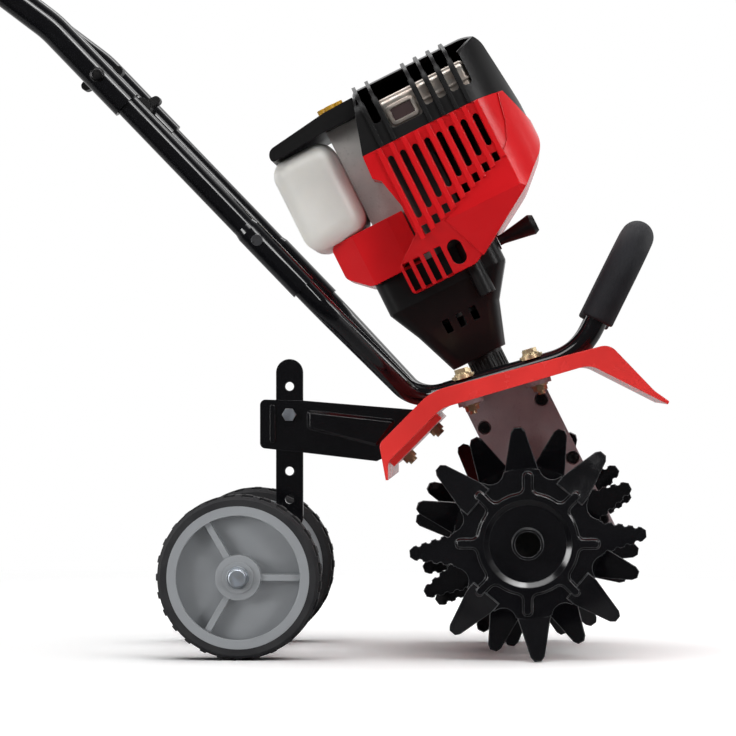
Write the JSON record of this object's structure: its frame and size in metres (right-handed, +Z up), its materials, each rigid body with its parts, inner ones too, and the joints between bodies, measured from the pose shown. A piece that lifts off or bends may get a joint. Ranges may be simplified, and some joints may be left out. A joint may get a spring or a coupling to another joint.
{
  "type": "mini tiller",
  "caption": "Walk-behind mini tiller: leaning engine over a worm gear case, star tine discs under a guard, a carrying loop, bent tube handles and a rear wheel set.",
  "frame": {"origin": "on the ground under the middle of the machine's overall box", "axes": "+X forward, the way it tills; +Y to the operator's left; +Z up"},
  "size_m": [1.018, 0.373, 0.812],
  "materials": {
    "tine_steel": "gloss black",
    "zinc": "yellow zinc",
    "steel": "machined",
    "bronze": "machined",
    "cast_case": "die cast",
    "cast_block": "die cast",
    "rubber": "matt",
    "red_paint": "gloss",
    "red_plastic": "moulded",
    "black_tube": "gloss",
    "black_plastic": "moulded",
    "foam": "soft foam",
    "drum_iron": "machined",
    "muffler_steel": "pressed",
    "tank_plastic": "blow moulded",
    "yellow_plastic": "moulded",
    "rim_plastic": "moulded",
    "tyre": "tread"
  },
  "bodies": {
    "chassis": {"air_box_cover": "black_plastic", "axle_nuts": "zinc", "bracket_fasteners": "zinc", "carriage_bolts": "zinc", "clutch_housing": "black_plastic", "engine_block": "cast_block", "engine_shroud": "red_plastic", "foam_grip": "foam", "front_loop": "black_tube", "fuel_tank": "tank_plastic", "gear_bearings": "steel", "gear_case_left": "cast_case", "gear_case_right": "cast_case", "gear_case_screws": "zinc", "guard_fasteners": "zinc", "hand_grip_left": "rubber", "hand_grip_right": "rubber", "handle_brace": "black_tube", "handle_screws": "zinc", "lower_handle_left": "black_tube", "lower_handle_right": "black_tube", "middle_handle_left": "black_tube", "middle_handle_right": "black_tube", "muffler": "muffler_steel", "muffler_cover": "black_plastic", "neck_collar": "black_plastic", "shaft_seals": "rubber", "throttle_housing": "black_plastic", "tine_guard": "red_paint", "upper_handle_left": "black_tube", "upper_handle_right": "black_tube", "wheel_axle": "steel", "wheel_bracket": "black_tube", "wheel_strut": "black_tube"},
    "tines": {"tine_disc_outer_right": "tine_steel", "tine_disc_inner_right": "tine_steel", "tine_disc_inner_left": "tine_steel", "tine_disc_outer_left": "tine_steel", "tine_pins": "zinc", "tine_shaft": "steel", "worm_wheel": "bronze"},
    "drive": {"worm_shaft": "steel", "clutch_drum": "drum_iron"},
    "crank": {"crankshaft": "steel", "clutch_hub": "drum_iron", "flywheel": "cast_case"},
    "reel": {"starter_reel": "black_plastic"},
    "pull": {"starter_grip": "black_plastic"},
    "wheel_right": {"wheel_rim_right": "rim_plastic", "tyre_right": "tyre"},
    "wheel_left": {"wheel_rim_left": "rim_plastic", "tyre_left": "tyre"},
    "lever": {"throttle_lever": "black_plastic"},
    "switch": {"stop_switch": "red_plastic"},
    "choke": {"choke_lever": "yellow_plastic"},
    "cap": {"fuel_cap": "black_plastic"},
    "knob_right": {"wing_knob_right": "black_plastic"},
    "knob_left": {"wing_knob_left": "black_plastic"}
  },
  "joints": [
    {"name": "tine_spin", "type": "hinge", "parent": "chassis", "child": "tines", "pos_m": [0.3899, 0, 0.1], "axis": [0, 1, 0], "continuous": true},
    {"name": "drive_spin", "type": "hinge", "parent": "chassis", "child": "drive", "pos_m": [0.35497, 0, 0.25522], "axis": [-0.4462, 0, 0.8949], "continuous": true},
    {"name": "crank_spin", "type": "hinge", "parent": "chassis", "child": "crank", "pos_m": [0.35497, 0, 0.25522], "axis": [-0.4462, 0, 0.8949], "continuous": true},
    {"name": "reel_spin", "type": "hinge", "parent": "chassis", "child": "reel", "pos_m": [0.35497, 0, 0.25522], "axis": [-0.4462, 0, 0.8949], "range_deg": [0, 1145], "stiffness_Nm_per_rad": 0.004, "springref_deg": -114.59},
    {"name": "starter_pull", "type": "slide", "parent": "chassis", "child": "pull", "axis": [0.8949, 0, 0.4462], "range_m": [0, 0.6]},
    {"name": "wheel_right_spin", "type": "hinge", "parent": "chassis", "child": "wheel_right", "pos_m": [0.1431, -0.095, 0.0705], "axis": [0, 1, 0], "continuous": true},
    {"name": "wheel_left_spin", "type": "hinge", "parent": "chassis", "child": "wheel_left", "pos_m": [0.1431, 0.095, 0.0705], "axis": [0, 1, 0], "continuous": true},
    {"name": "throttle_squeeze", "type": "hinge", "parent": "chassis", "child": "lever", "pos_m": [-0.3773, -0.167, 0.75252], "axis": [0, 1, 0], "range_deg": [0, 15], "stiffness_Nm_per_rad": 0.12, "springref_deg": -17.19},
    {"name": "stop_slide", "type": "slide", "parent": "chassis", "child": "switch", "axis": [0.9903, 0, -0.1392], "range_m": [0, 0.005]},
    {"name": "choke_turn", "type": "hinge", "parent": "chassis", "child": "choke", "pos_m": [0.21882, -0.03, 0.47451], "axis": [-0.4462, 0, 0.8949], "range_deg": [0, 60]},
    {"name": "cap_turn", "type": "hinge", "parent": "chassis", "child": "cap", "pos_m": [0.20533, 0.06, 0.40633], "axis": [0, 1, 0], "range_deg": [0, 90]},
    {"name": "knob_turn_right", "type": "hinge", "parent": "chassis", "child": "knob_right", "pos_m": [0.03161, -0.167, 0.49332], "axis": [0, 1, 0], "continuous": true},
    {"name": "knob_turn_left", "type": "hinge", "parent": "chassis", "child": "knob_left", "pos_m": [0.03161, 0.167, 0.49332], "axis": [0, 1, 0], "continuous": true}
  ],
  "couplings": [
    {"joint": "drive_spin", "follows": "tine_spin", "ratio": 30},
    {"joint": "starter_pull", "follows": "reel_spin", "m_per_rad": 0.03}
  ]
}
